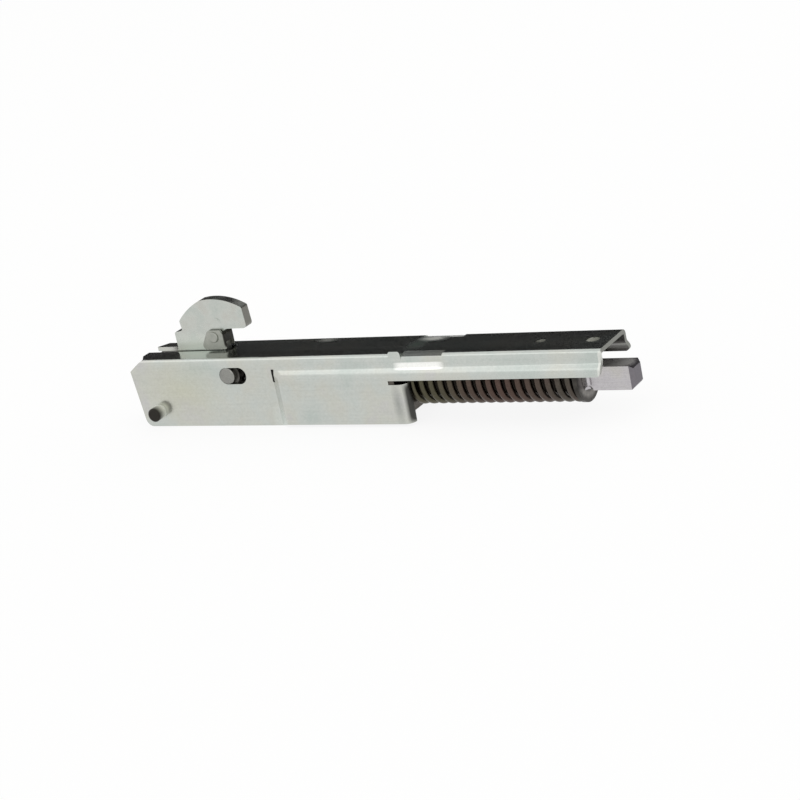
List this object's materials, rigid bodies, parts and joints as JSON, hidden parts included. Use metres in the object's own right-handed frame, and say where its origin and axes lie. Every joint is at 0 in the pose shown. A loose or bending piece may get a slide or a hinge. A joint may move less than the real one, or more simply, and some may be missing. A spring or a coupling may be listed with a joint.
{
  "type": "oven door hinge",
  "caption": "Folded steel channel hinge for an oven door, with a hooked claw on a pivot at one end and a spring-loaded pull rod that swings the claw shut.",
  "frame": {"origin": "middle of the whole hinge in length and width, on the plane of the front walls' lower edges", "axes": "+X along the channel from the claw to the rod's tail, +Y to the far wall, +Z from the open side to the web"},
  "size_m": [0.192, 0.03, 0.0435],
  "materials": {
    "zinc_sheet": "bright zinc plate on folded sheet",
    "zinc_claw": "bright zinc plate on blanked plate",
    "zinc_pin": "dull zinc plate",
    "zinc_bar": "zinc plate with a grey cast",
    "dark_pin": "dark bare steel, lightly oiled",
    "dark_plate": "dark bare steel",
    "spring_wire": "oil-tempered spring wire"
  },
  "bodies": {
    "housing": {"channel_housing": "zinc_sheet", "pivot_pin": "dark_pin", "pivot_washer_near": "zinc_pin", "pivot_washer_far": "zinc_pin", "stop_pin": "zinc_pin", "stop_roller": "dark_pin", "stop_collar_near": "zinc_pin", "stop_collar_far": "zinc_pin", "spring_seat_plate": "dark_plate", "main_spring": "spring_wire"},
    "claw": {"claw_lever": "zinc_claw", "lock_clip": "zinc_claw", "clip_pin": "zinc_pin"},
    "rod": {"tension_rod": "zinc_bar", "tie_link_near": "zinc_bar", "tie_link_far": "zinc_bar", "link_pin": "dark_pin", "link_spacer": "zinc_pin", "rod_rivet_front": "zinc_pin", "rod_rivet_rear": "zinc_pin", "spring_end_washer": "zinc_bar"}
  },
  "joints": [
    {"name": "claw_swing", "type": "hinge", "parent": "housing", "child": "claw", "pos_m": [-0.087, 0, 0.0057], "axis": [0, -1, 0], "range_deg": [0, 90], "stiffness_Nm_per_rad": 0.57},
    {"name": "rod_slide", "type": "slide", "parent": "housing", "child": "rod", "axis": [-1, 0, 0], "range_m": [0, 0.014], "deforming": ["main_spring"]}
  ],
  "couplings": [
    {"joint": "rod_slide", "follows": "claw_swing", "m_per_rad": 0.0089127}
  ]
}
